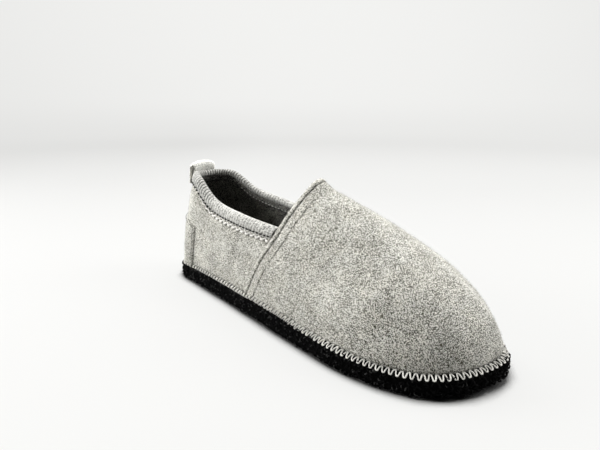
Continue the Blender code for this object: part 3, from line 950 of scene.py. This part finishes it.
def make_sole():
    """The looped felt sole's body, uneven at its edge and fuller low down at the outer waist."""
    where = np.arange(TURNS * 24) / 24
    top = SOLE_THICKNESS
    rows = ((24.0, 0.0), (8.0, 0.0), (2.2, 0.0), (0.7, 0.7), (0.1, 2.2), (0.0, 4.0), (0.0, 5.6),
            (0.0, 7.4), (0.05, 9.4), (0.4, 10.6), (1.3, top), (5.0, top), (9.0, top))
    rings, faces = slab(where, rows)
    _, inwards = outline_frame(where)
    phase = 2 * np.pi * (rings @ WAVE_DIRECTIONS.T) / (WAVE_LENGTHS * 0.13) + WAVE_PHASES
    uneven = np.sin(phase).sum(-1) / WAVE_COUNT
    rings[3:10, :, :2] -= inwards * (EDGE_UNEVENNESS * uneven[3:10])[..., None]
    waist = np.exp(-((rings[..., 0] - WAIST_AT) / WAIST_REACH) ** 2) * (rings[..., 1] < 0)
    low = np.clip(1 - rings[..., 2] / 8, 0, 1) * waist
    rings[1:10, :, :2] -= inwards * (WAIST_SWELL * low[1:10])[..., None]
    rings[..., 2] = np.maximum(rings[..., 2] - sole_lift(rings[..., 0]) * low, 0)
    add_piece("sole_body", rings, faces, SOLE_FELT, ["outsole"])


def make_sole_loops():
    """Loops of black yarn on the sole's wall and ledge, looser at the toe, some paler as painted glints,
    most towards the heel.
    """
    wall_count, ledge_count, steps = 1900, 650, 8
    count = wall_count + ledge_count
    where = np.interp(rng.uniform(0, OUTLINE_RUN[-1], count), OUTLINE_RUN, MEASURED)
    on_wall = np.arange(count) < wall_count
    height = np.where(on_wall, rng.uniform(0.9, 10.4, count), SOLE_THICKNESS - 0.2)
    ledge = stations(where)["ledge"]
    inset = np.where(on_wall, rng.uniform(-0.1, 0.5, count), rng.uniform(0.1, 0.5, count) * ledge)
    base = on_sole(where, inset, height)
    _, inwards = outline_frame(where)
    outward = np.column_stack([-inwards, np.zeros(count)])
    up = np.array([0.0, 0.0, 1.0])
    spread = outward + 0.25 * rng.normal(size=(count, 3))
    normal = unit(np.where(on_wall[:, None], spread, up + 0.3 * outward))
    along = unit(np.cross(normal, np.where(on_wall[:, None], up, outward)))
    other = np.cross(normal, along)
    turn = rng.uniform(0, 2 * np.pi, count)
    flat = along * np.cos(turn)[:, None] + other * np.sin(turn)[:, None]
    third = np.cross(normal, flat)
    toe = np.clip((base[:, 0] - 235) / 40, 0, 1)
    size = rng.uniform(0.6, 1.15, count)
    looseness = 0.75 + 1.1 * toe * rng.uniform(0, 1, count)
    size = size * np.where(on_wall, looseness, 0.7)
    angle = np.linspace(-0.5, np.pi + 0.5, steps)
    paths = (base[:, None] + size[:, None, None] * (
        np.cos(angle)[:, None] * flat[:, None] + 1.05 * np.sin(angle)[:, None] * normal[:, None]
        + 0.35 * np.sin(2 * angle)[:, None] * third[:, None]))
    paths[..., 2] = np.maximum(paths[..., 2], 0.35)
    radius = np.broadcast_to(rng.uniform(0.26, 0.42, count)[:, None], (count, steps))
    # Paler loops are painted glints on the black yarn
    pale_share = np.interp(base[:, 0], (60, 140, 230, 270), (0.3, 0.2, 0.16, 0.03))
    pale = rng.uniform(0, 1, count) < pale_share
    for name, chosen, yarn in (("sole_loops", ~pale, LOOP_YARN), ("sole_glints", pale, GLINT_YARN)):
        sideways = np.broadcast_to(third[chosen, None], paths[chosen].shape)
        points, faces = tubes(paths[chosen], sideways, radius[chosen], 5)
        add_piece(name, points, faces, yarn)


def make_insole():
    """The dark footbed, dished a little under the heel and the ball, with the inside's painted shade."""
    where = np.arange(TURNS * 16) / 16
    edge = stations(where)["ledge"] + LAP + WALL + INSOLE_CLEARANCE
    low = SOLE_THICKNESS + GAP
    high = low + INSOLE_THICKNESS
    rows = ((edge, low), (edge, high - 1), (edge + 0.3, high - 0.3), (edge + 1.0, high),
            (edge + 5.0, high - 0.1), (edge + 10.0, high - 0.4), (edge + 16.0, high - 0.6))
    rings, faces = slab(where, rows)
    points = rings.reshape(-1, 3)
    tone = inside_painted_shade(points)
    add_piece("insole_felt", points, faces, CHARCOAL_FELT, ["insole"], tone=tone)


# The edge stitch at distances from the heel: the ledge's share left free, and the height over the sole
EDGE_REACH_AT = (70.0, 130.0, 200.0, 240.0)
EDGE_REACH = (0.95, 0.4, 0.1, -0.25)
EDGE_LIFT = (-0.8, -0.1, -0.25, -0.45)

# The edge stitch at distances from the heel: its climb up the felt, and its thickness
EDGE_CLIMB_AT = (70.0, 130.0, 220.0)
EDGE_CLIMB = (1.7, 1.8, 0.5)
EDGE_FULLNESS = (1.15, 1.0, 0.88)
EDGE_STEPS = 14


def make_edge_stitch():
    """The serpentine yarn that ties the felt to the sole all round, its loops narrower at the heel."""
    steps = EDGE_STITCHES * EDGE_STEPS
    count = np.arange(steps) / EDGE_STEPS
    where = np.interp(count / EDGE_STITCHES * OUTLINE_RUN[-1], OUTLINE_RUN, MEASURED)
    uneven = 0.12 * np.sin(count * 2.1) + 0.1 * np.sin(count * 5.7 + 1)
    turn = 2 * np.pi * count
    row = stations(where)
    broad = 0.5 - 0.6 * np.cos(turn) + 0.1 * np.cos(3 * turn)
    narrow = (0.5 - 0.5 * np.cos(turn)) ** 4
    swing = narrow + (broad - narrow) * np.clip((row["x"] - 110) / 50, 0, 1)
    rise = np.interp(row["x"], EDGE_CLIMB_AT, EDGE_CLIMB) + uneven
    high_level = level_at_run(where, rise)
    from_heel = np.minimum(where % TURNS, TURNS - where % TURNS)
    past_patch = np.clip((from_heel - PATCH_FOOT) / 0.1, 0, 1)
    before_lap = np.clip((THROAT - 0.08 - from_heel) / 0.1, 0, 1)
    felt = LAP * past_patch * before_lap + foot_tuck(where, rise) + unevenness(profile(where, high_level))
    stand = np.interp(row["x"], (70, 130), (0.55, 0.35))
    high = skin(where, high_level, felt - stand)
    share = np.interp(row["x"], EDGE_REACH_AT, EDGE_REACH)
    lift = np.interp(row["x"], EDGE_REACH_AT, EDGE_LIFT)
    low = on_sole(where, row["ledge"] * share + 0.3 * uneven, SOLE_THICKNESS + lift)
    path = low + (high - low) * swing[:, None]
    _, inwards = outline_frame(where)
    normal = unit(np.column_stack([-inwards, np.full(steps, 1.0)]))
    path = path + normal * (0.55 * np.sin(np.pi * swing))[:, None]
    radius = EDGE_THREAD * np.interp(row["x"], EDGE_CLIMB_AT, EDGE_FULLNESS)[None]
    points, faces = tubes(path[None], normal[None], radius, 8, closed=True, ply=0.14, twist=0.55)
    add_piece("edge_stitch", points, faces, EDGE_YARN)


def stitch_tubes(middle, direction, normal, length, radius, arch=0.22):
    """Short stitches, each an arched length of yarn with its ends sunk in the felt."""
    t = np.linspace(-0.5, 0.5, 7)
    bow = arch * (1 - (2 * t) ** 2) - 0.35 * np.abs(2 * t) ** 4
    paths = (middle[:, None] + direction[:, None] * (t * length)[:, None]
             + normal[:, None] * bow[:, None])
    taper = radius * np.sqrt(np.maximum(1 - (2 * t) ** 6, 0.05))
    normals = np.broadcast_to(normal[:, None], paths.shape)
    return tubes(paths, normals, np.broadcast_to(taper, paths.shape[:2]), 6)


def join(parts):
    """Several lots of points and faces as one."""
    start, points, faces = 0, [], []
    for some_points, some_faces in parts:
        points.append(some_points)
        faces.append(some_faces + start)
        start += len(some_points)
    return np.vstack(points), np.vstack(faces)


def throat_level(run, inner):
    """The level at a length up the throat's girth, on one side of the shoe."""
    return level_at_run(np.full(run.shape, float(TURNS - THROAT if inner else THROAT)), run)


def on_lap(run, row, inner):
    """Points in a sewn row of the lap at lengths up the throat's girth, and the normals there."""
    level = throat_level(run, inner)
    turn = lap_station(level, np.full(run.shape, row), inner)
    where = TURNS - turn if inner else turn
    section = np.array(LAP_SECTION)
    sunk = np.interp(row, section[:, 0], section[:, 1]) - 0.12 - lap_flare(level, row)
    return skin(where, level, sunk), skin_normal(where, level)


def make_lap_stitches():
    """Stitches along the lap: one row right over the instep, a second only up both sides."""
    parts = []
    for inner in (False, True):
        throat = np.array([float(TURNS - THROAT if inner else THROAT)])
        girth = run_at_level(throat, np.ones(1))[0]
        runs = np.arange(girth - LAP_STITCH / 2, 3.5, -LAP_STITCH)
        level = throat_level(runs, inner)
        for row, most in zip(LAP_ROWS, (1.01, LAP_ROW_FADE[0])):
            shown = runs[level < most]
            middle, normal = on_lap(shown, row, inner)
            ahead, _ = on_lap(shown + 0.4, row, inner)
            direction = unit(ahead - middle)
            parts.append(stitch_tubes(middle, direction, normal, LAP_STITCH * 0.7, SEAM_THREAD))
    points, faces = join(parts)
    add_piece("lap_stitches", points, faces, SEAM_YARN)


def make_patch_stitches():
    """A row of stitches inside the heel patch's edge."""
    u = np.concatenate([np.full(60, -1.0), np.linspace(-1, 1, 240), np.full(60, 1.0)])
    v = np.concatenate([np.linspace(0.06, 1, 60), np.ones(240), np.linspace(1, 0.06, 60)])
    inset_u, inset_v = 1 - PATCH_SEAM / PATCH_HALF_WIDTH, 1 - PATCH_SEAM / PATCH_CLIMB
    where, level = patch_place(u * inset_u, v * inset_v)
    line = skin(where, level, 0.3)
    run = lengths_along(line)
    even = np.arange(2, run[-1] - 1, PATCH_STITCH)
    middle = at_lengths(even, run, line)
    direction = unit(at_lengths(even + 0.5, run, line) - middle)
    normal = unit(at_lengths(even, run, skin_normal(where, level)))
    points, faces = stitch_tubes(middle, direction, normal, PATCH_THREAD_LENGTH, SEAM_THREAD)
    add_piece("patch_stitches", points, faces, SEAM_YARN)


def make_collar_stitches():
    """The dark stitches in the channel under the binding, and pale ones inside along both sides."""
    every, _ = collar_stations(THROAT - 0.1, COLLAR_STITCH)
    sides = every[np.abs(every) > 2.4]
    rows = (
        ("collar_stitches", every, -0.1, BINDING_DROP - 0.9, 1, 0.6, DARK_YARN, "felt_dark"),
        ("hem_stitches", sides, LAP + WALL + 0.3, 8.0, -1, 0.42, PALE_YARN, "felt_grey"),
    )
    for name, where, depth, drop, facing, radius, yarn, slot in rows:
        normal = facing * skin_normal(where, collar_level(where))
        middle = beside_collar(where, depth, drop)
        direction = unit(beside_collar(where + 0.02, depth, drop) - middle)
        points, faces = stitch_tubes(middle, direction, normal, COLLAR_STITCH * 0.42, radius)
        add_piece(name, points, faces, yarn)


def make_overlock():
    """The pale overlocked edge below the binding along both sides, running out towards the heel."""
    per_stitch, parts = 16, []
    for side in (-1, 1):
        where, run = collar_stations(THROAT - 0.06, OVERLOCK_PITCH / per_stitch)
        keep = side * where > 2.3
        where, run = where[keep], run[keep]
        full = np.clip((np.abs(where) - 2.3) / 0.9, 0, 1)
        swing = np.cos(2 * np.pi * run / OVERLOCK_PITCH)
        drop = BINDING_DROP + 2.1 + 0.8 * swing * (0.25 + 0.75 * full)
        depth = LAP - 0.1 - 0.8 * full
        path = beside_collar(where, depth, drop)
        normal = skin_normal(where, collar_level(where))
        parts.append(tubes(path[None], normal[None], (0.3 + full * (0.3 + 0.25 * swing))[None], 8))
    points, faces = join(parts)
    add_piece("overlock", points, faces, PALE_YARN)


def make_nap(name):
    """Loose fibres standing off a felt skin: thin curved slivers, each with its own shade."""
    points, faces = NAP[name]
    count = NAP_FIBRES[name]
    triangles = np.vstack([faces[:, [0, 1, 2]], faces[:, [0, 2, 3]]])
    a, b, c = (points[triangles[:, i]] for i in range(3))
    cross = np.cross(b - a, c - a)
    area = np.linalg.norm(cross, axis=1)
    pick = rng.choice(len(triangles), count, p=area / area.sum())
    s, t = rng.uniform(0, 1, (2, count))
    flip = s + t > 1
    s, t = np.where(flip, 1 - s, s)[:, None], np.where(flip, 1 - t, t)[:, None]
    root = a[pick] + s * (b - a)[pick] + t * (c - a)[pick]
    normal = unit(cross[pick])
    lay = unit(np.cross(normal, rng.normal(size=(count, 3))))
    bend = unit(np.cross(normal, lay)) * rng.normal(0, 0.35, (count, 1))
    length = rng.uniform(0.7, 2.4, (count, 1))
    stand = rng.uniform(0.15, 0.9, (count, 1)) ** 1.3
    middle = root + length * (0.5 * lay * (1 - 0.5 * stand) + 0.5 * stand * normal)
    tip = root + length * (0.95 * lay * (1 - 0.4 * stand) + 0.75 * stand * normal + bend)
    edgeways = unit(np.cross(lay, normal) + 0.5 * normal * rng.normal(size=(count, 1)))
    wide = edgeways * rng.uniform(0.025, 0.05, (count, 1))
    narrow = wide * 0.8
    root = root - 0.05 * normal
    slivers = np.stack([root - wide, root + wide, middle + narrow, middle - narrow, tip], axis=1)
    start = np.arange(count)[:, None] * 5
    quads = (start + np.array([0, 1, 2, 3])).tolist()
    tips = (start + np.array([3, 2, 4])).tolist()
    piece = add_piece("nap_" + name, slivers, quads + tips, NAP_WOOL)
    shade = piece.data.attributes.new("shade", "FLOAT", "POINT")
    shade.data.foreach_set("value", np.repeat(rng.uniform(0, 1, count), 5).astype(np.float32))


# The photograph's view, in the last's frame: angles, distance and target, lens and sensor width
AZIMUTH, ELEVATION, ROLL = np.radians((43.47, 14.99, 0.11))
DISTANCE = 440.29
TARGET = np.array((48.88, 83.13, 30.0))
LENS, SENSOR = 27.0, 36.0


def stand_at(piece, right, up, back, place):
    """Puts a camera or a lamp in the scene at a place in metres, turned to three directions."""
    bpy.context.scene.collection.objects.link(piece)
    rows = [[right[i], up[i], back[i], place[i]] for i in range(3)]
    piece.matrix_world = Matrix(rows + [[0, 0, 0, 1]])


def make_camera():
    """The camera at the photograph's angle."""
    flat = np.cos(ELEVATION)
    back = np.array((np.sin(AZIMUTH) * flat, -np.cos(AZIMUTH) * flat, np.sin(ELEVATION)))
    right = np.array((np.cos(AZIMUTH), np.sin(AZIMUTH), 0))
    up = np.cross(back, right)
    right, up = right * np.cos(ROLL) + up * np.sin(ROLL), up * np.cos(ROLL) - right * np.sin(ROLL)
    place = (TARGET + back * DISTANCE - MIDDLE) * MM
    data = bpy.data.cameras.new("camera")
    data.lens = LENS
    data.sensor_width = SENSOR
    data.clip_start = 0.01
    camera = bpy.data.objects.new("camera", data)
    stand_at(camera, right, up, back, place)
    bpy.context.scene.camera = camera


# Studio light: name, place and aim in metres, size in metres, power in watts
LIGHTS = (
    ("overhead", (-0.2, 0.2, 1.4), (0.0, 0.0, 0.0), 1.4, 31.0),
    ("left", (-0.66, -0.5, 0.3), (-0.05, 0.0, 0.04), 0.5, 10.8),
    ("behind", (0.8, 0.95, 0.95), (0.0, 0.0, 0.05), 0.9, 27.0),
    ("heel", (-1.0, 0.1, 1.0), (0.0, 0.0, 0.05), 0.6, 11.0),
)

# The world's even light, the floor's own glow as painted light, and how far the wall's glow falls off to
# the front
WORLD_STRENGTH = 0.12
FLOOR_GLOW = 0.78
WALL_GLOW_TURN = 0.7


def make_stage():
    """A pale floor that curves up all round into a backdrop, glowing with painted light that changes by
    place, with a painted contact shadow round the shoe.
    """
    inner, fillet, rise = 1.3, 0.8, 1.0
    bend = np.linspace(0, np.pi / 2, 17)
    radius = np.concatenate([[0.02, 0.4, 0.9], inner + fillet * np.sin(bend), [inner + fillet]])
    height = np.concatenate([[0, 0, 0], fillet * (1 - np.cos(bend)), [fillet + rise]])
    turn = np.linspace(0, 2 * np.pi, 97)[:-1]
    rings = np.stack([radius[:, None] * np.cos(turn), radius[:, None] * np.sin(turn),
                      np.broadcast_to(height[:, None], (len(radius), len(turn)))], -1)
    faces = ring_quads(len(radius), len(turn)).tolist() + [list(range(len(turn)))]
    data = bpy.data.meshes.new("backdrop")
    data.from_pydata(rings.reshape(-1, 3).tolist(), [], faces)
    data.shade_smooth()
    constants = {"Roughness": 0.9, "Specular IOR Level": 0.1, "Emission Strength": 1.0}
    material, feed, place = new_material("backdrop", constants)
    feed("Base Color", place.noise(0.004, 2.0, 0.5).colour((0.058, 0.058, 0.057), (0.062, 0.062, 0.061)))
    parts = [place.node("ShaderNodeSeparateXYZ", {}, {0: place}, output=i) for i in range(3)]
    forward = (parts[0] * np.sin(AZIMUTH) - parts[1] * np.cos(AZIMUTH)) * (MM / (inner + fillet))
    sideways = (parts[0] * np.cos(AZIMUTH) + parts[1] * np.sin(AZIMUTH)) * MM
    wall = parts[2].ramp(-60, 180) * 0.68 + parts[2].ramp(0, 40) * 0.32
    # Ambient occlusion cuts the glow near the shoe: a painted contact shadow
    open_floor = place.node("ShaderNodeAmbientOcclusion", {"samples": 8}, {"Distance": 0.014}, output=1)
    # The glow is painted darker towards the front and to one side, and lighter on the far wall
    shade = wall * ((0.5 + 0.5 * forward) * WALL_GLOW_TURN - 0.19)
    shade = shade + (0.0 - forward).ramp(0.02, 0.25) * 0.05
    shade = shade + forward.ramp(0.15, 0.4) * 0.45
    shade = shade + (0.0 - sideways).ramp(0.08, 0.45) * (1 - wall) * 0.05
    glow = (FLOOR_GLOW + forward * 0.08 - shade) * open_floor.ramp(0.49, 0.78)
    feed("Emission Color", glow.colour((0, 0, 0), (1, 1, 0.985)))
    data.materials.append(material)
    backdrop = bpy.data.objects.new("backdrop", data)
    bpy.context.scene.collection.objects.link(backdrop)


def make_light():
    """Soft light from above, from the left, from behind and on the heel, and a faint even world."""
    for name, place, aim, size, power in LIGHTS:
        data = bpy.data.lights.new(name, "AREA")
        data.shape = "DISK"
        data.size = size
        data.energy = power
        lamp = bpy.data.objects.new(name, data)
        back = unit(np.array(place) - np.array(aim))
        right = unit(np.cross((0.0, 0.02, 1.0), back))
        up = np.cross(back, right)
        stand_at(lamp, right, up, back, place)
    world = bpy.data.worlds.new("studio")
    world.use_nodes = True
    sky = world.node_tree.nodes["Background"]
    sky.inputs["Color"].default_value = (1.0, 1.0, 1.0, 1)
    sky.inputs["Strength"].default_value = WORLD_STRENGTH
    bpy.context.scene.world = world
    bpy.context.scene.view_settings.view_transform = "Standard"


make_camera()
make_stage()
make_light()
make_sole()
make_sole_loops()
make_insole()
make_lining()
make_lining_hem()
make_quarters()
make_heel_patch()
make_vamp()
make_binding()
make_pull_loop()
make_edge_stitch()
make_lap_stitches()
make_patch_stitches()
make_collar_stitches()
make_overlock()
for felt in NAP:
    make_nap(felt)
